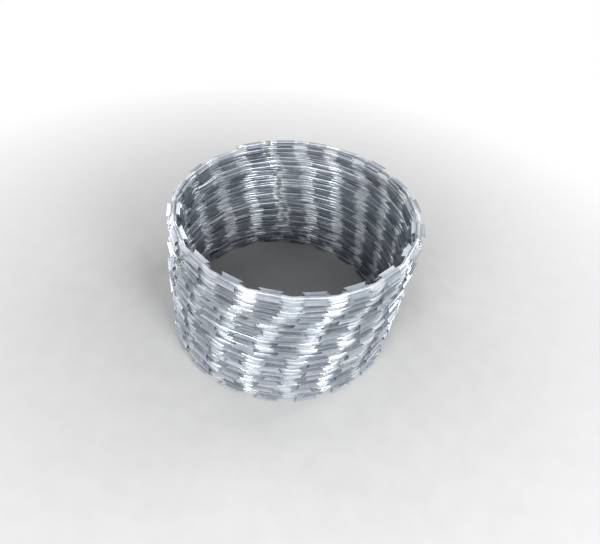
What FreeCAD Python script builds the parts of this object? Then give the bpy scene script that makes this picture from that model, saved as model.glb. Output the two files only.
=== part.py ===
"""Concertina razor wire coil: one long barbed tape wound into a tight upright stack, and its clips.

The tape lies flat. Its blades are stiff and stay straight, so each turn bends only in the
gaps between them, and seen from above a turn is a polygon with two kinds of side. The blades
of all the turns stand over each other in columns, each flat on top with a sharp flared edge.
Between the columns run the ribs, where the tape is rolled round its wire. Neighbouring turns
are held together in pairs by small steel clips, in three columns, and that is what lets the
coil open like a concertina. The origin is the middle of the floor under the coil, and Z runs
up its axis. The bodies are drawn on +Y and then turned to their places round the coil.
"""
import FreeCAD, Part
import Sketcher
import os

Vector = FreeCAD.Vector
Placement = FreeCAD.Placement
Rotation = FreeCAD.Rotation

os.makedirs("parts", exist_ok=True)
doc = FreeCAD.newDocument("RazorWireCoil")

# Driving sizes: millimetres and counts, and gaps counted round the coil from +X
SIZES = {
    "clipped_pairs": 22,
    "turn_pitch": 3.9,
    "blades_per_turn": 20,
    "blade_spacing": 45,
    "blade_length": 26,
    "blade_waist": 19,
    "tape_width": 15,
    "strip_thickness": 0.4,
    "rib_height": 3.3,
    "rib_width": 4,
    "pair_bulge": 0.6,
    "clip_width": 6.4,
    "clip_thickness": 0.5,
    "clip_spacing": 0.2,
    "clip_seat": 0.1,
    "back_clip_gap": 6,
    "front_left_clip_gap": 12,
    "right_clip_gap": 19,
}

# Sizes that follow from the driving ones: the coil, its stack, the gap walls and the clips
FORMULAS = {
    "turns": "2 * clipped_pairs",
    "sector_angle": "360 / blades_per_turn",
    "half_angle": "sector_angle / 2",
    "rib_radius": "blades_per_turn * blade_spacing / (2 * pi)",
    "wall_outside": "rib_radius + rib_width / 2",
    "wall_inside": "rib_radius - rib_width / 2",
    "edge_outside": "rib_radius + tape_width / 2",
    "edge_inside": "rib_radius - tape_width / 2",
    "flare": "(blade_length - blade_waist) / (tape_width - rib_width)",
    "last_blade": "(turns - 1) * turn_pitch",
    "stack_height": "(turns - 1) * turn_pitch + rib_height",
    "bulge_waist": "blade_waist / 2 + flare * pair_bulge",
    "valley_outside": "wall_outside * cos(half_angle) + blade_waist / 2 * sin(half_angle)",
    "valley_inside": "wall_inside * cos(half_angle) + blade_waist / 2 * sin(half_angle)",
    "crest_outside": "(wall_outside + pair_bulge) * cos(half_angle) + bulge_waist * sin(half_angle)",
    "crest_inside": "(wall_inside - pair_bulge) * cos(half_angle) + bulge_waist * sin(half_angle)",
    "half_gap": "wall_inside * sin(half_angle) - blade_waist / 2 * cos(half_angle)",
    "half_gap_outside": "wall_outside * sin(half_angle) - blade_waist / 2 * cos(half_angle)",
    "half_crest_inside": "(wall_inside - pair_bulge) * sin(half_angle) - bulge_waist * cos(half_angle)",
    "half_crest_outside": "(wall_outside + pair_bulge) * sin(half_angle) - bulge_waist * cos(half_angle)",
    "clip_leg": "clip_thickness + clip_spacing / 2",
    "slit_rise": "(clip_leg + clip_seat) / (1 - clip_width / 2 / half_gap)",
    "clip_inside": "crest_inside - clip_seat",
    "clip_outside": "crest_outside + clip_seat",
    "clip_opening": "2 * turn_pitch - 2 * clip_leg",
}

sheet = doc.addObject("Spreadsheet::Sheet", "Sizes")
cells = {name: str(value) for name, value in SIZES.items()}
cells.update({name: "=" + formula for name, formula in FORMULAS.items()})
for row, (name, value) in enumerate(cells.items(), start=1):
    sheet.set(f"A{row}", name)
    sheet.set(f"B{row}", value)
    sheet.setAlias(f"B{row}", name)
doc.recompute()


def size(name):
    return float(sheet.get(name))


def in_sheet(formula):
    """The same formula with every size's name led by the name of its sheet."""
    words = sorted(cells, key=len, reverse=True)
    marked = formula
    for number, word in enumerate(words):
        marked = marked.replace(word, f"@{number}@")
    for number, word in enumerate(words):
        marked = marked.replace(f"@{number}@", f"Sizes.{word}")
    return marked


def bind(item, **formulas):
    for prop, formula in formulas.items():
        item.setExpression(prop, in_sheet(formula))


# Drawing helpers: a sketch is closed outlines whose corners are formulas of the sizes
def origin_item(body, role):
    return next(item for item in body.Origin.OriginFeatures if item.Role == role)


def add_sketch(body, name, plane, outlines):
    sketch = body.newObject("Sketcher::SketchObject", name)
    sketch.AttachmentSupport = (origin_item(body, plane), [""])
    sketch.MapMode = "FlatFace"
    for corners in outlines:
        places = [Vector(*(float(sketch.evalExpression(in_sheet(part))) for part in corner), 0)
                  for corner in corners]
        first = sketch.GeometryCount
        count = len(corners)
        for i in range(count):
            sketch.addGeometry(Part.LineSegment(places[i], places[(i + 1) % count]))
        for i, (across, along) in enumerate(corners):
            line = first + i
            sketch.addConstraint(Sketcher.Constraint("Coincident", line, 2, first + (i + 1) % count, 1))
            for kind, formula, value in (("DistanceX", across, places[i].x),
                                         ("DistanceY", along, places[i].y)):
                index = sketch.addConstraint(Sketcher.Constraint(kind, -1, 1, line, 1, value))
                sketch.setExpression(f"Constraints[{index}]", in_sheet(formula))
    return sketch


def add_pad(body, name, sketch, length):
    pad = body.newObject("PartDesign::Pad", name)
    pad.Profile = sketch
    bind(pad, Length=length)
    return pad


def add_row_of_cuts(body, name, sketch, count):
    """Cut the sketch right through the body, and repeat the cut up the stack, pair by pair."""
    cut = body.newObject("PartDesign::Pocket", name)
    cut.Profile = sketch
    cut.Type = "ThroughAll"
    cut.Midplane = True
    row = body.newObject("PartDesign::LinearPattern", name + "_row")
    row.Originals = [cut]
    row.Direction = (origin_item(body, "Z_Axis"), [""])
    bind(row, Length=f"({count} - 1) * 2 * turn_pitch", Occurrences=count)
    body.Tip = row
    return row


# Blade column: the outline of one blade pair, raised to the full stack and cut into sharp turns
BLADE_CORNERS = [
    ("-blade_waist / 2", "wall_inside"), ("-blade_length / 2", "edge_inside"),
    ("blade_length / 2", "edge_inside"), ("blade_waist / 2", "wall_inside"),
    ("blade_waist / 2", "wall_outside"), ("blade_length / 2", "edge_outside"),
    ("-blade_length / 2", "edge_outside"), ("-blade_waist / 2", "wall_outside"),
]
RIB_CORNERS = [
    ("-blade_waist / 2", "wall_inside"), ("blade_waist / 2", "wall_inside"),
    ("blade_waist / 2", "wall_outside"), ("-blade_waist / 2", "wall_outside"),
]


def space_between_pairs(wall, crest, edge):
    """Space over one pair's flat top, up to the sloping underside of the next pair's blades."""
    return [(crest, "-turn_pitch"), (edge, "-turn_pitch"), (edge, "turn_pitch"), (wall, "0")]


def make_blade_column():
    body = doc.addObject("PartDesign::Body", "blade_column")
    outline = add_sketch(body, "blade_outline", "XY_Plane", [BLADE_CORNERS])
    add_pad(body, "blade_block", outline, "last_blade")
    spaces = add_sketch(body, "blade_spaces", "YZ_Plane", [
        space_between_pairs("wall_outside", "wall_outside + pair_bulge", "edge_outside"),
        space_between_pairs("wall_inside", "wall_inside - pair_bulge", "edge_inside")])
    add_row_of_cuts(body, "blade_cut", spaces, "clipped_pairs")
    lowest = add_sketch(body, "lowest_outline", "XY_Plane", [BLADE_CORNERS])
    add_pad(body, "lowest_blade", lowest, "strip_thickness")
    rib = add_sketch(body, "rib_outline", "XY_Plane", [RIB_CORNERS])
    add_pad(body, "rib_block", rib, "stack_height")
    return body


# Gap wall: the ribs between two blade columns, one soft ridge for each clipped pair of turns
GAP_CORNERS = [
    ("-half_crest_inside", "crest_inside"), ("half_crest_inside", "crest_inside"),
    ("half_gap", "valley_inside"), ("half_gap_outside", "valley_outside"),
    ("half_crest_outside", "crest_outside"), ("-half_crest_outside", "crest_outside"),
    ("-half_gap_outside", "valley_outside"), ("-half_gap", "valley_inside"),
]


def valley(bottom, crest):
    """Groove between the ridges of two pairs, from one crest to the next."""
    return [(crest, "-turn_pitch"), (bottom, "0"), (crest, "turn_pitch")]


def make_gap_wall(name, slit_height=None):
    body = doc.addObject("PartDesign::Body", name)
    outline = add_sketch(body, name + "_outline", "XY_Plane", [GAP_CORNERS])
    add_pad(body, name + "_block", outline, "stack_height")
    valleys = add_sketch(body, name + "_valleys", "YZ_Plane", [
        valley("valley_outside", "crest_outside"), valley("valley_inside", "crest_inside")])
    add_row_of_cuts(body, name + "_ridge", valleys, "(clipped_pairs + 1)")
    if slit_height:
        slit = add_sketch(body, name + "_slit", "XZ_Plane", [[
            ("-half_gap", slit_height), ("0", f"{slit_height} + slit_rise"),
            ("half_gap", slit_height), ("0", f"{slit_height} - slit_rise")]])
        add_row_of_cuts(body, name + "_slits", slit, "(clipped_pairs + 1)")
    return body


# Razor tape: the columns and gap walls stand in turn round the coil and are fused into one piece
def facing(gap):
    """Turn that carries a body drawn on +Y to a gap's place. Half gaps are blade columns."""
    angle = gap * size("sector_angle") - 90
    return Placement(Vector(0, 0, 0), Rotation(Vector(0, 0, 1), angle))


def add_copy(source, name, placement):
    copy = doc.addObject("App::Link", name)
    copy.LinkedObject = source
    copy.Placement = placement
    return copy


# Each clip column stands in one gap, and its clips start at the first or the second turn
CLIP_COLUMNS = {
    "clips_back": ("back_clip_gap", 0),
    "clips_front_left": ("front_left_clip_gap", 1),
    "clips_right": ("right_clip_gap", 0),
}


def make_tape():
    column = make_blade_column()
    plain_wall = make_gap_wall("gap_wall")
    slit_walls = [make_gap_wall("slit_wall", "0"), make_gap_wall("staggered_wall", "turn_pitch")]
    doc.recompute()
    clipped = {round(size(gap)): start for gap, start in CLIP_COLUMNS.values()}
    pieces = []
    for gap in range(round(size("blades_per_turn"))):
        wall = slit_walls[clipped[gap]] if gap in clipped else plain_wall
        pieces.append(add_copy(wall, f"wall_{gap}", facing(gap)))
        pieces.append(add_copy(column, f"column_{gap}", facing(gap + 0.5)))
    tape = doc.addObject("Part::MultiFuse", "razor_tape")
    tape.Shapes = pieces
    tape.Refine = False
    return tape


# Clips: a steel band round two neighbouring turns, with its seam pressed shut
def make_clip_column(label, gap, first_slit):
    band = doc.addObject("Part::Box", label + "_band")
    bind(band, Length="clip_width", Width="clip_outside - clip_inside + 2 * clip_thickness",
         Height="clip_opening + 2 * clip_thickness")
    opening = doc.addObject("Part::Box", label + "_opening")
    bind(opening, Length="clip_width", Width="clip_outside - clip_inside", Height="clip_opening")
    for box, back in ((band, "clip_thickness"), (opening, "0")):
        box.setExpression("Placement.Base.x", in_sheet("-clip_width / 2"))
        box.setExpression("Placement.Base.y", in_sheet(f"clip_inside - {back}"))
        box.setExpression("Placement.Base.z", in_sheet(f"clip_leg - {back}"))
    clip = doc.addObject("Part::Cut", label + "_clip")
    clip.Base = band
    clip.Tool = opening
    turn_to_gap = facing(round(size(gap)))
    count = round(size("clipped_pairs")) - first_slit
    clips = []
    for number in range(count):
        height = (2 * number + first_slit) * size("turn_pitch")
        lift = Placement(Vector(0, 0, height), Rotation())
        clips.append(add_copy(clip, f"{label}_{number}", lift * turn_to_gap))
    column = doc.addObject("Part::Compound", label)
    column.Links = clips
    return column


parts = [make_tape()]
parts += [make_clip_column(label, gap, start) for label, (gap, start) in CLIP_COLUMNS.items()]
doc.recompute()

# Every object is checked before anything is written
for item in doc.Objects:
    if "Invalid" in item.State or "Error" in item.State:
        raise RuntimeError(f"{item.Label}: {item.State}")
for part in parts:
    if part.Shape.isNull() or not part.Shape.isValid():
        raise RuntimeError(f"{part.Label} has no valid shape")
for part in parts:
    part.Shape.exportStep(f"parts/{part.Label}.step")
    print(part.Label, len(part.Shape.Solids), "solids,", round(part.Shape.Volume), "mm3")
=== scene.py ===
# %% [markdown]
# # A coil of concertina razor wire
#
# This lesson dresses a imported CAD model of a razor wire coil, so that it looks like the real thing. The
# coil is one long barbed tape: a galvanised strip with flared blades, rolled round a spring wire and
# wound into a tight upright stack. Small steel clips hold its turns together in pairs.
#
# The plan follows the factory. One length of tape is shaped flat and straight, repeated along the
# strip, and then the whole strip is wound up. Last come the clips, the finishes and the light.

import math

import bmesh
import bpy
from mathutils import Matrix, Vector, noise


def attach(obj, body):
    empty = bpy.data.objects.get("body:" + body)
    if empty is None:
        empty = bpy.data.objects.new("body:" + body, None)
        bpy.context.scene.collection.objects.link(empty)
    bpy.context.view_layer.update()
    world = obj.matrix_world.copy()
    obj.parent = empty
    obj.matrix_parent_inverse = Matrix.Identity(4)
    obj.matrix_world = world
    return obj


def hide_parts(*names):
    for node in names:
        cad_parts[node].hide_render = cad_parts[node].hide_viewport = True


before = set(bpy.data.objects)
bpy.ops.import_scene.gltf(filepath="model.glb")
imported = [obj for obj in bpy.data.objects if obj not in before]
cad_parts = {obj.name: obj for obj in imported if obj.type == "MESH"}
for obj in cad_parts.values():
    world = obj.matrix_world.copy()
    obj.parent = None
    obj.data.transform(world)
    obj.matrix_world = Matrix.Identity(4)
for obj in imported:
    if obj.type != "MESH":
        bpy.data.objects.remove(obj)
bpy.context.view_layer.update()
scene = bpy.context.scene
scene.view_settings.view_transform = "Standard"
MM = 0.001

# %% [markdown]
# ## Camera
#
# A viewer looks down on the coil at about 45 degrees, from about 60 cm away, with the camera held a
# little askew. A camera in Blender looks along its own -Z, so it is first tipped up round X from
# looking straight down, and then rolled round its own line of sight.

# %% Camera
camera_data = bpy.data.cameras.new("camera")
camera_data.sensor_width = 36
camera_data.lens = 26.4
camera = bpy.data.objects.new("camera", camera_data)
scene.collection.objects.link(camera)
camera.matrix_world = (
    Matrix.Rotation(math.radians(3.5), 4, "Z")
    @ Matrix.Translation(Vector((15.3, -418.5, 485.1)) * MM)
    @ Matrix.Rotation(math.radians(90 - 45.13), 4, "X")
    @ Matrix.Rotation(math.radians(6.57), 4, "Z")
)
scene.camera = camera
print("camera stands at", [round(place, 3) for place in camera.matrix_world.translation])

# %% [markdown]
# ## One length of barbed tape
#
# The real tape is a steel strip 0.5 mm thick. Its middle is rolled round a 2.5 mm spring wire, which
# makes a rounded rib with a narrow flat margin on each side. From the margins stand blades with a
# straight outer edge, a sharp tip at both ends and a hollow notch behind each tip. One pair of blades
# comes every 45 mm.
#
# A blade and its margin are a grid of one column and four rows, because moving the two ends of each
# row gives the curved notch with very few faces, and the same length is repeated hundreds of times.
# The first row is as long as the whole length, so the margins of neighbours join. The rib is a circle
# of eight points, pulled along the tape section by section with an extrude.

# %% Sizes of the tape
UNIT = 45 * MM
BLADE_HALF = 13 * MM
STRIP = 0.5 * MM
RIB_HEIGHT = 3.6 * MM
RIB_WIDTH = 4.0 * MM
WIRE_RADIUS = 1.25 * MM
BLADE_LIFT = 0.3 * MM
# Distance of each row from the tape's middle, and half the row's length, both in millimetres.
BLADE_ROWS = [(1.1, 22.5), (2.8, 22.5), (3.1, 9.8), (5.3, 10.6), (7.5, 13.0)]
# Places along X of the rib's rings, in millimetres.
RIB_SECTIONS = [-22.5, -13.0, 13.0, 22.5]
print("a blade pair every", UNIT / MM, "mm")


# %% Pull a ring of points along X
def pull_ring(mesh, ring, sections):
    """Extrude a ring of edges from section to section, and give back the ring of points at each."""
    edges = list(dict.fromkeys(edge for vert in ring for edge in vert.link_edges))
    rings = [ring]
    for here, there in zip(sections, sections[1:]):
        pulled = bmesh.ops.extrude_edge_only(mesh, edges=edges)["geom"]
        verts = [item for item in pulled if isinstance(item, bmesh.types.BMVert)]
        edges = [item for item in pulled if isinstance(item, bmesh.types.BMEdge)]
        bmesh.ops.translate(mesh, verts=verts, vec=((there - here) * MM, 0, 0))
        rings.append(verts)
    return rings


print("a rib is pulled through", len(RIB_SECTIONS), "sections")


# %% Shape one rib and two blades
def add_rib(mesh):
    """An eight-sided tube along X on the floor, open at both ends so that lengths can join."""
    stand = Matrix.Translation((RIB_SECTIONS[0] * MM, 0, RIB_HEIGHT / 2))
    stretch = Matrix.Diagonal((1, RIB_WIDTH / RIB_HEIGHT, 1, 1))
    upright = Matrix.Rotation(math.radians(90), 4, "Y")
    ring = bmesh.ops.create_circle(mesh, segments=8, radius=RIB_HEIGHT / 2, matrix=stand @ stretch @ upright)
    pull_ring(mesh, ring["verts"], RIB_SECTIONS)
    for face in mesh.faces:
        face.smooth = True


def add_blade(mesh, side):
    """One blade and its margin: a grid whose rows give the outline, thickened to the strip's steel."""
    grid = bmesh.ops.create_grid(mesh, x_segments=1, y_segments=len(BLADE_ROWS) - 1, size=1)["verts"]
    for vert in grid:
        row = round((vert.co.y + 1) / 2 * (len(BLADE_ROWS) - 1))
        across, half_length = BLADE_ROWS[row]
        vert.co = Vector((math.copysign(half_length * MM, vert.co.x), side * across * MM, BLADE_LIFT))
    faces = list(dict.fromkeys(face for vert in grid for face in vert.link_faces))
    raised = bmesh.ops.extrude_face_region(mesh, geom=faces)["geom"]
    top = [item for item in raised if isinstance(item, bmesh.types.BMVert)]
    bmesh.ops.translate(mesh, verts=top, vec=(0, 0, STRIP))
    ends = [face for face in mesh.faces
            if not face.smooth and abs(face.calc_center_median().x) > (UNIT / 2 - 0.1 * MM)]
    bmesh.ops.delete(mesh, geom=ends, context="FACES_ONLY")


def make_unit():
    """Mesh of one length, with its flat place on the strip kept as a UV map, in metres."""
    mesh = bmesh.new()
    add_rib(mesh)
    for side in (-1, 1):
        add_blade(mesh, side)
    bmesh.ops.recalc_face_normals(mesh, faces=mesh.faces)
    flat_map = mesh.loops.layers.uv.new("flat_strip")
    for face in mesh.faces:
        for loop in face.loops:
            loop[flat_map].uv = (loop.vert.co.x, loop.vert.co.y)
    data = bpy.data.meshes.new("tape_unit")
    mesh.to_mesh(data)
    mesh.free()
    return data


unit = make_unit()
print("one length of tape has", len(unit.polygons), "faces")

# %% [markdown]
# ## A straight strip, as it leaves the rolls
#
# An Array modifier repeats the length along X and welds neighbours where their ribs and margins meet.
# It also moves each copy's UV map along, so the map keeps its place on the flat strip. Streaks that
# are painted on that map will later run round the coil with the steel.

# %% Repeat the length of tape
TURNS = 44
UNITS = 875
PAIRS_A_TURN = 20

strip = bpy.data.objects.new("razor_tape_strip", unit)
scene.collection.objects.link(strip)
row = strip.modifiers.new("row", "ARRAY")
row.count = UNITS
row.use_relative_offset = False
row.use_constant_offset = True
row.constant_offset_displace = (UNIT, 0, 0)
row.use_merge_vertices = True
row.merge_threshold = 0.02 * MM
row.offset_u = UNIT
straight = bpy.data.meshes.new_from_object(strip.evaluated_get(bpy.context.evaluated_depsgraph_get()))
bpy.data.objects.remove(strip)
print("the straight strip is", round(UNITS * UNIT, 2), "m long, with", len(straight.polygons), "faces")

# %% [markdown]
# ## The path of the turns
#
# A real coil is never a perfect helix. Each turn lies level and climbs onto the next one in a short
# stretch, the clips pinch pairs of turns together, the columns of blades drift sideways from turn to
# turn, and the whole stack leans a little. So every blade pair gets its own small frame: a place,
# and the directions along the tape, towards the axis and up. Smooth noise with fixed seeds moves
# them, so that neighbours move together and each run gives the same coil.

# %% Sizes of the coil
RIB_RADIUS = 142.9 * MM
PITCH = 3.9 * MM
TOP_ANGLE = 124.0
COLUMN_DRIFT = 14.0
CROSSING_ANGLE = 171.0
HALF_CLIMB = 0.115
PINCH = 0.15 * MM
LEAN = Vector((3.1, 6.2, 0)) * MM
BACK_RISE = 0.02
UNEVEN = 1.0 * MM
# How far noise moves a blade pair: along the tape and towards the axis in millimetres.
SLOW_SLIP, QUICK_SLIP, PAIR_SLIP = 6.5, 3.0, 0.8
BULGE, PAIR_BULGE = 1.9, 0.3
SWAY = 0.8 * MM
# How far noise turns a blade pair on the level and tips it sideways, in degrees.
PAIR_SKEW, PAIR_TIP = 1.5, 4.0
# Angles round the coil, and how strongly the clips pinch the turns there.
PULLS = [(-60, 0.4), (-24, 1.0), (-10, 1.0), (45, 0.9), (100, 1.0), (116, 1.0), (140, 0.6), (171, 0.0),
         (196, -0.7), (210, -1.0), (224, -1.0), (250, -0.6), (282, 0.0), (300, 0.4)]
print(TURNS, "turns lie about", round(PITCH / MM, 2), "mm apart")


# %% Height, wobble and pinch
def wobble(turn, seed, rate):
    """Smooth noise between about -1 and 1 that depends on the place along the tape."""
    return 2 * noise.noise(Vector((turn * rate, seed * 17.3, 0.5)))


def shiver(number, seed):
    """Noise of one blade pair, with no link to its neighbours."""
    return 2 * noise.noise(Vector((number * 1.37 + 0.41, seed * 31.7, 0.25)))


def level_of(turn):
    """Height in turns: level most of the way round, then a smooth climb onto the next turn."""
    nearest = math.floor(turn + 0.5)
    share = max(-1.0, min(1.0, (turn - nearest) / HALF_CLIMB))
    return nearest - 0.5 + 0.5 * math.sin(share * math.pi / 2)


def pull(angle):
    """1 where the clips join even turns to the ones above, -1 where they join odd ones."""
    angle = (angle + 60) % 360 - 60
    for (start, low), (end, high) in zip(PULLS, PULLS[1:]):
        if angle <= end:
            return low + (high - low) * (angle - start) / (end - start)


def height_of(number, turn, angle):
    """Height of a blade pair above the floor, with its turn pinched to its partner by the clips."""
    partner = 1 if math.floor(turn) % 2 == 0 else -1
    pair = math.floor((turn + 1) / 2)
    height = level_of(turn) * PITCH + partner * pull(angle) * PINCH
    loose = min(1, (TURNS - turn) / 3) * min(1, turn / 2)
    height += UNEVEN * loose * noise.noise(Vector((pair * 0.83, angle / 75, 2.5)))
    height += (0.06 * wobble(turn, 6, 3.0) + 0.04 * shiver(number, 7)) * MM
    return max(height, 0)


print("level of the turns along one climb:", [round(level_of(4 + step / 20), 2) for step in range(-4, 5)])


# %% Place of each blade pair
def frame_of(number):
    """Frame of one blade pair: X along the tape, Y towards the axis, Z up."""
    from_top = UNITS - 1 - number
    drift = COLUMN_DRIFT * (1 - (1 - from_top / (UNITS - 1)) ** 2.2)
    angle = TOP_ANGLE - 360 / PAIRS_A_TURN * from_top - drift
    turn = TURNS + (angle - CROSSING_ANGLE) / 360
    height = height_of(number, turn, angle)
    share = height / ((TURNS - 1) * PITCH)
    settled = min(1, turn / 2)
    free = 0.35 + 0.65 * min(1, (TURNS - turn) / 2)
    slip = SLOW_SLIP * wobble(turn, 1, 0.8) + QUICK_SLIP * wobble(turn, 2, 2.3)
    slip += PAIR_SLIP * shiver(number, 3)
    turned = math.radians(angle) + slip * free * MM / RIB_RADIUS
    radius = RIB_RADIUS + (BULGE * wobble(turn, 4, 1.3) * free + PAIR_BULGE * shiver(number, 5)) * MM
    place = Vector((math.cos(turned), math.sin(turned), 0)) * radius
    place += Vector((wobble(turn, 8, 0.6), wobble(turn, 9, 0.6), 0)) * SWAY * settled
    place += LEAN * (2 * share - 1)
    place.z = height + BACK_RISE * place.y * share
    lay = Matrix.Rotation(turned + math.pi / 2, 4, "Z")
    skew = Matrix.Rotation(math.radians(PAIR_SKEW * shiver(number, 11)), 4, "Z")
    tip = Matrix.Rotation(math.radians(PAIR_TIP * shiver(number, 10) * settled), 4, "X")
    return Matrix.Translation(place) @ lay @ skew @ tip


frames = [frame_of(number) for number in range(UNITS)]
heights = [item.translation.z / MM for item in frames]
print("the ribs stand from", round(min(heights), 2), "to", round(max(heights), 2), "mm above the floor")

# %% [markdown]
# ## Winding
#
# The blades are stiff, so a blade pair moves as one rigid piece, and the tape bends only in the gap
# between two pairs. A point in a gap takes a smooth mix of its two neighbours' frames. A flat strip
# that is bent on edge doesn't stay level: it tips like the side of a shallow dish, and the clip tips
# the upper turn of each pair more than the lower one. That shows as a dark blade and a light rib by
# turns down the inner wall. The top turns are free of it.


# %% Wind the strip
# Slopes of the strip across its width: in the upper and lower turns of a pair, and by noise.
UPPER_SLOPE, LOWER_SLOPE = 0.42, 0.12
SLOPE_DRIFT, PAIR_SLOPE = 0.14, 0.08
# Blade pairs that the first turn lacks.
MISSING_PAIRS = 3


def tilt(point):
    """Tip the strip, its inner edge up, before it is wound."""
    number = round(point.x / UNIT)
    turn = (number + MISSING_PAIRS) / PAIRS_A_TURN
    free = min(1, (TURNS - turn) / 3)
    slope = (UPPER_SLOPE if math.floor(turn) % 2 else LOWER_SLOPE) * free
    slope += SLOPE_DRIFT * noise.noise(Vector((number % PAIRS_A_TURN * 0.61, turn / 7, 3.5)))
    slope += PAIR_SLOPE * shiver(number, 12)
    return point + Vector((0, 0, point.y * slope))


def wind(point):
    """Carry a point of the straight strip to its place in the coil."""
    number = min(max(round(point.x / UNIT), 0), UNITS - 1)
    local = point.x - number * UNIT
    own = frames[number] @ Vector((local, point.y, point.z))
    following = number + (1 if local > 0 else -1)
    beyond = (abs(local) - BLADE_HALF) / (UNIT - 2 * BLADE_HALF)
    if beyond <= 0 or not 0 <= following < UNITS:
        return own
    other = frames[following] @ Vector((point.x - following * UNIT, point.y, point.z))
    return own.lerp(other, beyond * beyond * (3 - 2 * beyond))


def keep_above_floor(verts):
    """Lift the points that would sink into the floor."""
    for vert in verts:
        vert.co.z = max(vert.co.z, 0)


for vertex in straight.vertices:
    vertex.co = wind(tilt(vertex.co))
keep_above_floor(straight.vertices)
tape = bpy.data.objects.new("wound_tape", straight)
scene.collection.objects.link(tape)
print("the wound tape spans", [round(side / MM, 1) for side in tape.dimensions], "mm")

# %% [markdown]
# ## Ends of the tape
#
# At each end the rolled strip is cut square, and a few millimetres of the spring wire stand out of
# it. The openings of the rib and of its margins get a face each, and two short rods stand for the wire.


# %% Close the rib and let the wire show
WIRE_LENGTH = 7 * MM


def place_piece(mesh, name):
    """Put a finished mesh in the scene as a piece."""
    data = bpy.data.meshes.new(name)
    mesh.to_mesh(data)
    mesh.free()
    piece = bpy.data.objects.new(name, data)
    scene.collection.objects.link(piece)
    return piece


def close_ends(data):
    """Give the openings of the rib and its margins a face each."""
    mesh = bmesh.new()
    mesh.from_mesh(data)
    open_edges = [edge for edge in mesh.edges if edge.is_boundary]
    caps = bmesh.ops.holes_fill(mesh, edges=open_edges, sides=8)["faces"]
    bmesh.ops.recalc_face_normals(mesh, faces=caps)
    mesh.to_mesh(data)
    mesh.free()
    return len(caps)


def make_wire_ends():
    """A short rod in each end of the rib, half of it outside."""
    mesh = bmesh.new()
    along_x = Matrix.Rotation(math.radians(90), 4, "Y")
    for middle in (-UNIT / 2, (UNITS - 0.5) * UNIT):
        stand = Matrix.Translation((middle, 0, RIB_HEIGHT / 2))
        rod = bmesh.ops.create_cone(mesh, cap_ends=True, segments=12, radius1=WIRE_RADIUS,
                                    radius2=WIRE_RADIUS, depth=WIRE_LENGTH, matrix=stand @ along_x)
        for vert in rod["verts"]:
            vert.co = wind(vert.co)
        keep_above_floor(rod["verts"])
    return place_piece(mesh, "spring_wire_ends")


print("closed", close_ends(straight), "openings")
wire_ends = make_wire_ends()

# %% [markdown]
# ## Clips
#
# Each clip is a narrow steel band pressed round the ribs of two turns, so that it follows both ribs
# and dips in between them. Its two ends meet on the outside of the coil, and its edges turn outwards,
# so that they don't cut the zinc of the tape. The band starts as a circle. Its two halves are moved
# apart to make room for two ribs, extrudes give its width, and solidify gives it its thickness.

# %% Sizes of the clips
CLIP_SIDE = 2.25 * MM
CLIP_TOP = 1.87 * MM
CLIP_WAIST = 1.6 * MM
CLIP_STEEL = 0.4 * MM
SEAM_HALF = 0.12 * MM
AT_WAIST = 0.1 * MM
# Places along X of the band's rings, and how far each ring is widened, both in millimetres.
CLIP_SECTIONS = [-4.7, -3.6, 0.0, 3.6, 4.7]
CLIP_FLARE = [0.8, 0.05, 0.0, 0.05, 0.8]
# The gap that holds each column's top clip, counted in blade pairs, and the number of clips.
CLIP_COLUMNS = {"clips_back": (874, 22), "clips_front_left": (840, 21), "clips_right": (867, 22)}
print("clips in all:", sum(count for _, count in CLIP_COLUMNS.values()))


# %% Shape one clip
def make_band(rise):
    """One band along X round two ribs, the second one higher by rise, with its seam on -Y."""
    mesh = bmesh.new()
    stretch = Matrix.Diagonal((1, CLIP_SIDE / MM, CLIP_TOP / MM, 1))
    ring = bmesh.ops.create_circle(mesh, segments=12, radius=MM,
                                   matrix=stretch @ Matrix.Rotation(math.radians(90), 4, "Y"))["verts"]
    for vert in ring:
        vert.co.x = CLIP_SECTIONS[0] * MM
        if abs(vert.co.z) < AT_WAIST:
            vert.co.y = math.copysign(CLIP_WAIST, vert.co.y)
        else:
            vert.co.z += math.copysign(rise / 2, vert.co.z)
    rings = pull_ring(mesh, ring, CLIP_SECTIONS)
    for verts, flare in zip(rings, CLIP_FLARE):
        for vert in verts:
            vert.co.y *= 1 + flare * MM / CLIP_SIDE
    seam = [edge for edge in mesh.edges
            if all(vert.co.y < 0 and abs(vert.co.z) < AT_WAIST for vert in edge.verts)]
    bmesh.ops.split_edges(mesh, edges=seam)
    for vert in mesh.verts:
        if vert.co.y < 0 and abs(vert.co.z) < AT_WAIST:
            upper = sum(face.calc_center_median().z for face in vert.link_faces) > 0
            vert.co.z = SEAM_HALF if upper else -SEAM_HALF
    bmesh.ops.recalc_face_normals(mesh, faces=mesh.faces)
    bmesh.ops.solidify(mesh, geom=mesh.faces[:], thickness=-CLIP_STEEL)
    bmesh.ops.recalc_face_normals(mesh, faces=mesh.faces)
    band_map = mesh.loops.layers.uv.new("flat_band")
    for face in mesh.faces:
        face.smooth = True
        for loop in face.loops:
            loop[band_map].uv = (loop.vert.co.x, loop.vert.co.z)
    return mesh


trial = make_band(PITCH)
print("one clip has", len(trial.faces), "faces")
trial.free()


# %% Set the clips in their columns
def gap_place(number, shift):
    """Centre of the rib in the gap before a blade pair, and the tape's direction there."""
    middle = (number - 0.5) * UNIT + shift
    start, centre, end = (wind(Vector((middle + step, 0, RIB_HEIGHT / 2))) for step in (-MM, 0, MM))
    return centre, (end - start).normalized()


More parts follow.
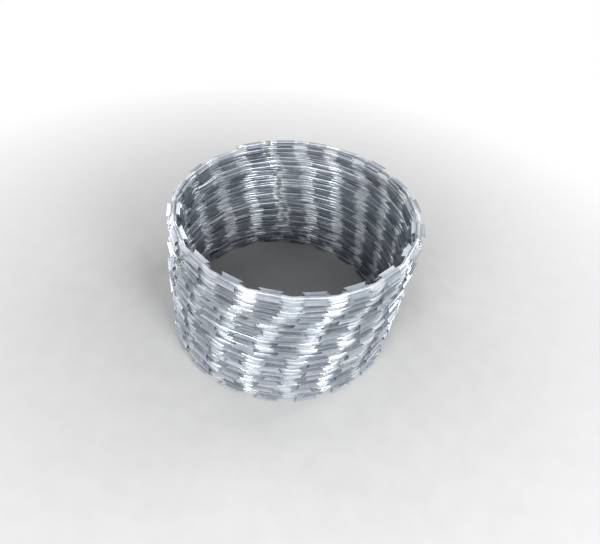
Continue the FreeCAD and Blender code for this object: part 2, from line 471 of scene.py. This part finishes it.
def make_clip_column(name, top_gap, count):
    """One column of clips as one piece, from the top down, a clip for every two turns."""
    whole = bmesh.new()
    for step in range(count):
        shift = (3.0 * shiver(step, 14 + count) + max(0, 4 - 0.5 * step)) * MM
        gap = top_gap - 2 * PAIRS_A_TURN * step
        upper, along_upper = gap_place(gap, shift)
        lower, along_lower = gap_place(gap - PAIRS_A_TURN, shift)
        along = (along_upper + along_lower).normalized()
        rise = upper.z - lower.z
        inward = Vector((0, 0, 1)).cross(along)
        slant = inward.dot(upper - lower) / rise
        upward = Vector((0, 0, 1)) + inward * slant
        turn_to = Matrix((along, inward, upward)).transposed().to_4x4()
        band = make_band(rise)
        band.transform(Matrix.Translation((upper + lower) / 2) @ turn_to)
        keep_above_floor(band.verts)
        data = bpy.data.meshes.new("band")
        band.to_mesh(data)
        band.free()
        whole.from_mesh(data)
        bpy.data.meshes.remove(data)
    return place_piece(whole, name)


clip_pieces = {node: make_clip_column(node + "_bands", *place) for node, place in CLIP_COLUMNS.items()}
print({node: len(piece.data.polygons) for node, piece in clip_pieces.items()})

# %% [markdown]
# ## Galvanised strip
#
# The strip is rolled from galvanised coil steel. Zinc on rolled strip is a light bluish grey, half
# dull and half shiny, with a faint spangle of crystals, fine streaks along the rolling direction and
# dull patches that follow the strip for a hand's width. A pattern on Object coordinates would cut
# straight across the turns, so this finish reads the flat strip's own map, and each streak follows
# its turn round the coil. The zinc is a mix of bare metal and a pale oxide skin, so it is metallic
# only in part, and the skin changes how rough it is from place to place. Between two blades the strip
# is narrow and rolled right round the wire, so the rolls leave that stretch lighter and shinier. Two
# masks find it: one reads the distance from the middle of the strip, the other the place along it.

# %% Small helpers for node materials
def new_material(name, metallic=0):
    """A new material with its nodes, its links and its shader."""
    material = bpy.data.materials.new(name)
    material.use_nodes = True
    shader = material.node_tree.nodes["Principled BSDF"]
    shader.inputs["Metallic"].default_value = metallic
    return material, material.node_tree.nodes, material.node_tree.links, shader


def feed(links, value, socket):
    """Give a socket a number, a colour or the output of another node."""
    if isinstance(value, (int, float)):
        socket.default_value = value
    elif isinstance(value, tuple):
        socket.default_value = (*value, 1)
    else:
        links.new(value, socket)


def stretched_map(nodes, links, stretch, uv_name=None):
    """Object coordinates, or a UV map of the piece, stretched by a Mapping node."""
    if uv_name:
        source = nodes.new("ShaderNodeUVMap")
        source.uv_map = uv_name
        place = source.outputs["UV"]
    else:
        place = nodes.new("ShaderNodeTexCoord").outputs["Object"]
    mapping = nodes.new("ShaderNodeMapping")
    mapping.inputs["Scale"].default_value = stretch
    links.new(place, mapping.inputs["Vector"])
    return mapping.outputs["Vector"]


def split_map(nodes, links, uv_name):
    """The two directions of a piece's own map, apart."""
    source = nodes.new("ShaderNodeUVMap")
    source.uv_map = uv_name
    split = nodes.new("ShaderNodeSeparateXYZ")
    links.new(source.outputs["UV"], split.inputs["Vector"])
    return split.outputs["X"], split.outputs["Y"]


def add_math(nodes, links, operation, *values):
    """A calculation with one or two values, which are numbers or sockets."""
    calculation = nodes.new("ShaderNodeMath")
    calculation.operation = operation
    for socket, value in zip(calculation.inputs, values):
        feed(links, value, socket)
    return calculation.outputs[0]


def add_noise(nodes, links, place, scale, detail):
    """A noise texture, given as its factor between 0 and 1."""
    noise_node = nodes.new("ShaderNodeTexNoise")
    noise_node.inputs["Scale"].default_value = scale
    noise_node.inputs["Detail"].default_value = detail
    links.new(place, noise_node.inputs["Vector"])
    return noise_node.outputs["Fac"]


def add_range(nodes, links, value, start, end, low, high):
    """Stretch a value from one range to another, and hold it there."""
    stretch = nodes.new("ShaderNodeMapRange")
    for socket, number in (("From Min", start), ("From Max", end), ("To Min", low), ("To Max", high)):
        stretch.inputs[socket].default_value = number
    links.new(value, stretch.inputs["Value"])
    return stretch.outputs["Result"]


def add_ramp(nodes, links, value, stops):
    """A colour ramp from a list of places and colours."""
    ramp = nodes.new("ShaderNodeValToRGB")
    while len(ramp.color_ramp.elements) < len(stops):
        ramp.color_ramp.elements.new(0.5)
    for element, (position, colour) in zip(ramp.color_ramp.elements, stops):
        element.position = position
        element.color = (*colour, 1)
    links.new(value, ramp.inputs["Fac"])
    return ramp.outputs["Color"]


def add_mix(nodes, links, factor, first, second, blend="MIX"):
    """Mix two colours by a factor, which is a number or a socket."""
    mix = nodes.new("ShaderNodeMix")
    mix.data_type = "RGBA"
    mix.blend_type = blend
    feed(links, factor, mix.inputs["Factor"])
    feed(links, first, mix.inputs[6])
    feed(links, second, mix.inputs[7])
    return mix.outputs[2]


def add_bump(nodes, links, shader, height, depth):
    """Bump of a depth in metres from a height between 0 and 1."""
    bump = nodes.new("ShaderNodeBump")
    bump.inputs["Strength"].default_value = 1
    bump.inputs["Distance"].default_value = depth
    links.new(height, bump.inputs["Height"])
    links.new(bump.outputs["Normal"], shader.inputs["Normal"])


print("helpers for the finishes are ready")


# %% Zinc on the rolled strip
def add_strip_masks(nodes, links):
    """Two masks from the flat strip's map: 1 beyond the margins, and 1 between two blades."""
    along, across = split_map(nodes, links, "flat_strip")
    aside = add_math(nodes, links, "ABSOLUTE", across)
    from_pair = add_math(nodes, links, "PINGPONG", along, UNIT / 2)
    on_blade = add_range(nodes, links, aside, 2.8 * MM, 3.2 * MM, 0, 1)
    in_gap = add_range(nodes, links, from_pair, 11 * MM, 14 * MM, 0, 1)
    return on_blade, in_gap


def make_strip_zinc():
    material, nodes, links, shader = new_material("galvanised_strip")
    on_blade, in_gap = add_strip_masks(nodes, links)
    streaks = add_noise(nodes, links, stretched_map(nodes, links, (25, 1600, 1), "flat_strip"), 1.0, 3)
    patches = add_noise(nodes, links, stretched_map(nodes, links, (16, 90, 1), "flat_strip"), 1.0, 4)
    crystals = nodes.new("ShaderNodeTexVoronoi")
    crystals.inputs["Scale"].default_value = 420
    links.new(stretched_map(nodes, links, (1, 1, 1), "flat_strip"), crystals.inputs["Vector"])
    spangle = nodes.new("ShaderNodeSeparateColor")
    links.new(crystals.outputs["Color"], spangle.inputs["Color"])

    dull = add_ramp(nodes, links, patches, [(0.33, (0.29, 0.32, 0.355)), (0.5, (0.45, 0.485, 0.525)),
                                            (0.67, (0.66, 0.69, 0.73))])
    rubbed_and_painted_highlight = add_ramp(nodes, links, patches, [(0.33, (0.55, 0.59, 0.635)), (0.5, (0.73, 0.765, 0.80)),
                                              (0.67, (0.90, 0.915, 0.93))])
    zinc = add_mix(nodes, links, in_gap, dull, rubbed_and_painted_highlight)
    zinc = add_mix(nodes, links, on_blade, zinc, dull)
    streak_tone = add_ramp(nodes, links, streaks, [(0.3, (0.74, 0.75, 0.77)), (0.7, (1.0, 1.0, 1.0))])
    zinc = add_mix(nodes, links, 1.0, zinc, streak_tone, "MULTIPLY")
    spangle_tone = add_ramp(nodes, links, spangle.outputs["Red"], [(0.0, (0.84, 0.85, 0.87)),
                                                                   (1.0, (1.0, 1.0, 1.0))])
    zinc = add_mix(nodes, links, 1.0, zinc, spangle_tone, "MULTIPLY")
    links.new(zinc, shader.inputs["Base Color"])

    polish = add_range(nodes, links, in_gap, 0, 1, 0.36, 0.29)
    skin = add_range(nodes, links, patches, 0.33, 0.67, 0.42, 0.27)
    roughness = nodes.new("ShaderNodeMix")
    links.new(on_blade, roughness.inputs["Factor"])
    links.new(polish, roughness.inputs[2])
    links.new(skin, roughness.inputs[3])
    links.new(roughness.outputs[0], shader.inputs["Roughness"])
    links.new(add_range(nodes, links, in_gap, 0, 1, 0.6, 0.7), shader.inputs["Metallic"])
    add_bump(nodes, links, shader, streaks, 0.03 * MM)
    return material


strip_zinc = make_strip_zinc()
tape.data.materials.append(strip_zinc)
print("zinc on the strip:", len(strip_zinc.node_tree.nodes), "nodes")

# %% [markdown]
# ## Clips and wire ends
#
# The clips are pressed from a darker zinc-coated band, greenish grey beside the tape, with a painted
# highlight of near white along their rolled edges, and dull between them. The ends of the spring wire
# are drawn steel, with specks of brown where they have started to rust.

# %% Steel of the clips and of the wire ends
def make_clip_steel():
    material, nodes, links, shader = new_material("clip_steel", 0.45)
    place = stretched_map(nodes, links, (1, 1, 1))
    clouds = add_noise(nodes, links, place, 420, 3)
    coat = add_ramp(nodes, links, clouds, [(0.3, (0.17, 0.205, 0.207)), (0.55, (0.25, 0.293, 0.296)),
                                           (0.75, (0.35, 0.395, 0.40))])
    width, _ = split_map(nodes, links, "flat_band")
    from_middle = add_math(nodes, links, "ABSOLUTE", width)
    # Painted highlight: a band of near white along each rolled edge stands for the light it catches.
    rubbed_and_painted_highlight = add_range(nodes, links, from_middle, 3.7 * MM, 4.3 * MM, 0, 1)
    links.new(add_mix(nodes, links, rubbed_and_painted_highlight, coat, (0.86, 0.88, 0.88)), shader.inputs["Base Color"])
    links.new(add_range(nodes, links, rubbed_and_painted_highlight, 0, 1, 0.5, 0.25), shader.inputs["Roughness"])
    add_bump(nodes, links, shader, add_noise(nodes, links, place, 1500, 2), 0.03 * MM)
    return material


def make_drawn_wire():
    material, nodes, links, shader = new_material("drawn_wire", 0.8)
    place = stretched_map(nodes, links, (1, 1, 1))
    specks = add_noise(nodes, links, place, 900, 4)
    steel = add_ramp(nodes, links, specks, [(0.35, (0.42, 0.43, 0.44)), (0.6, (0.56, 0.575, 0.59)),
                                            (0.75, (0.45, 0.36, 0.29))])
    links.new(steel, shader.inputs["Base Color"])
    links.new(add_range(nodes, links, specks, 0.3, 0.7, 0.28, 0.5), shader.inputs["Roughness"])
    add_bump(nodes, links, shader, specks, 0.02 * MM)
    return material


clip_steel = make_clip_steel()
for piece in clip_pieces.values():
    piece.data.materials.append(clip_steel)
wire_ends.data.materials.append(make_drawn_wire())
print("finishes so far:", [material.name for material in bpy.data.materials])

# %% [markdown]
# ## Floor and light
#
# The coil stands on a plain pale floor that keeps its shadow and turns white further out, as a studio
# backdrop does. That white comes from Light Path: only the camera and the reflections in the metal see
# it, so it puts no light on the coil. The world is the same for them, white on all sides, and a weaker
# white light for everything else. Two soft lamps stand low behind the viewer's left and right shoulder,
# because light from there reaches over the front rim and down the far inside wall, and two weaker
# ones behind the coil draw its back rim.

# %% White for the camera and the metal
def add_seen(nodes, links):
    """1 for rays from the camera, from glossy reflections and through glass, 0 for the light itself."""
    path = nodes.new("ShaderNodeLightPath")
    seen = path.outputs["Is Camera Ray"]
    for name in ("Is Glossy Ray", "Is Transmission Ray"):
        seen = add_math(nodes, links, "MAXIMUM", seen, path.outputs[name])
    return seen


print("rays that see white are found by", add_seen.__name__)


# %% Floor
FLOOR_HALF = 6
PAINT_ENDS = 0.2
WHITE_STARTS = 0.75


def make_floor_paint():
    """Matt pale grey paint round the coil, seen as white further out."""
    material, nodes, links, shader = new_material("floor_paint")
    shader.inputs["Roughness"].default_value = 0.9
    place = stretched_map(nodes, links, (1, 1, 1))
    distance = nodes.new("ShaderNodeVectorMath")
    distance.operation = "LENGTH"
    links.new(place, distance.inputs[0])
    grain = add_ramp(nodes, links, add_noise(nodes, links, place, 40, 3), [(0.3, (0.50, 0.50, 0.50)),
                                                                           (0.7, (0.53, 0.53, 0.53))])
    links.new(grain, shader.inputs["Base Color"])
    far = add_range(nodes, links, distance.outputs["Value"], PAINT_ENDS, WHITE_STARTS, 0, 1)
    share = add_math(nodes, links, "MULTIPLY", far, add_seen(nodes, links))
    white = nodes.new("ShaderNodeEmission")
    blend = nodes.new("ShaderNodeMixShader")
    links.new(share, blend.inputs["Fac"])
    links.new(shader.outputs[0], blend.inputs[1])
    links.new(white.outputs[0], blend.inputs[2])
    links.new(blend.outputs[0], nodes["Material Output"].inputs["Surface"])
    return material


mesh = bmesh.new()
bmesh.ops.create_grid(mesh, x_segments=1, y_segments=1, size=FLOOR_HALF)
floor = place_piece(mesh, "floor")
floor.data.materials.append(make_floor_paint())
print("floor is", round(floor.dimensions.x, 1), "m wide")


# %% Lamps
LAMP_DISTANCE = 1.4
LAMP_AIM = Vector((0, 0, 0.1))


def add_lamp(name, azimuth, elevation, size, power):
    """A square lamp at a distance from the coil, turned towards it."""
    lamp_data = bpy.data.lights.new(name, "AREA")
    lamp_data.size = size
    lamp_data.energy = power
    lamp = bpy.data.objects.new(name, lamp_data)
    scene.collection.objects.link(lamp)
    around = Matrix.Rotation(math.radians(azimuth), 4, "Z")
    raised = Matrix.Rotation(math.radians(-elevation), 4, "Y")
    lamp.location = LAMP_AIM + around @ raised @ Vector((LAMP_DISTANCE, 0, 0))
    lamp.rotation_euler = (LAMP_AIM - lamp.location).to_track_quat("-Z", "Y").to_euler()
    return lamp


lamps = [
    add_lamp("left", -115, 25, 0.5, 13.5),
    add_lamp("right", -47, 25, 0.5, 17.0),
    add_lamp("back_right", 38, 34, 0.45, 5.5),
    add_lamp("back_left", 142, 34, 0.45, 3.5),
]
print("lamps:", [lamp.name for lamp in lamps])


# %% World
def light_world():
    """White on all sides for the camera and the metal, and a weaker white light for the rest."""
    world = bpy.data.worlds.new("studio")
    scene.world = world
    world.use_nodes = True
    nodes, links = world.node_tree.nodes, world.node_tree.links
    background = nodes["Background"]
    background.inputs["Color"].default_value = (1, 1, 1, 1)
    links.new(add_range(nodes, links, add_seen(nodes, links), 0, 1, 0.35, 1.0), background.inputs["Strength"])
    return world


print("world:", light_world().name)

# %% [markdown]
# ## Hand over
#
# Every piece rides on the coil's one body. The wound tape takes the place of the CAD ring, and each
# column of bands takes the place of its CAD clips.

# %% Ride on the CAD model and finish
for piece in (tape, wire_ends, *clip_pieces.values()):
    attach(piece, "root")
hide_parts("razor_tape")
for node, piece in clip_pieces.items():
    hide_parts(node)
